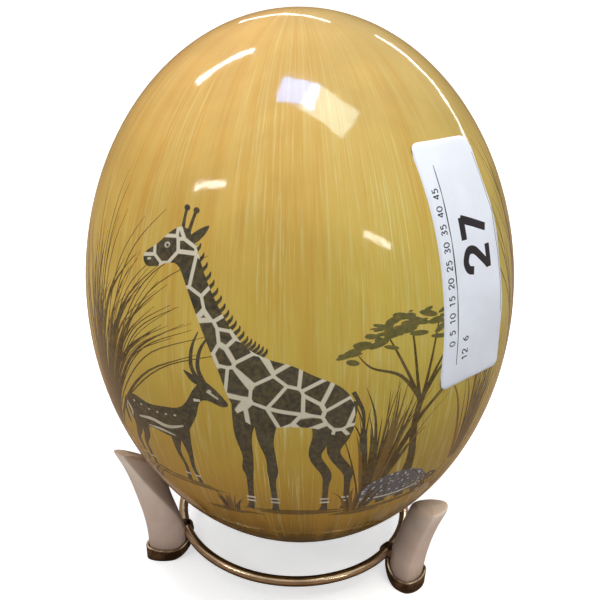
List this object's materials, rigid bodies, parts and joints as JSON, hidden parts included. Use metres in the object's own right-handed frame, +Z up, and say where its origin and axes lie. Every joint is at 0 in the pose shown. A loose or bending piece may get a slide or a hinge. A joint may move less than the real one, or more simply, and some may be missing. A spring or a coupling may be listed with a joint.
{
  "type": "decorated ostrich egg on a three-legged stand",
  "caption": "Decorated, lacquered ostrich egg standing upright on a small stand of bone legs in brass shoes joined by a brass ring, with a plain numbered label.",
  "frame": {"origin": "on the table, under the middle of the egg", "axes": "+Z up, front towards -Y, so that the label is to the front right"},
  "size_m": [0.125, 0.125, 0.1666],
  "materials": {
    "lacquered_shell": "ochre ground with painted decoration under a glossy lacquer",
    "brass_rod": "antique, rubbed bright on top",
    "dark_brass": "dark bronzed",
    "bone": "polished bone, satin",
    "label_paper": "matt white, with a plain number and ruled lines"
  },
  "bodies": {
    "root": {"egg": "lacquered_shell", "ring": "brass_rod", "leg_right": "bone", "leg_left": "bone", "leg_back": "bone", "shoe_right": "dark_brass", "shoe_left": "dark_brass", "shoe_back": "dark_brass", "label": "label_paper"}
  },
  "joints": []
}
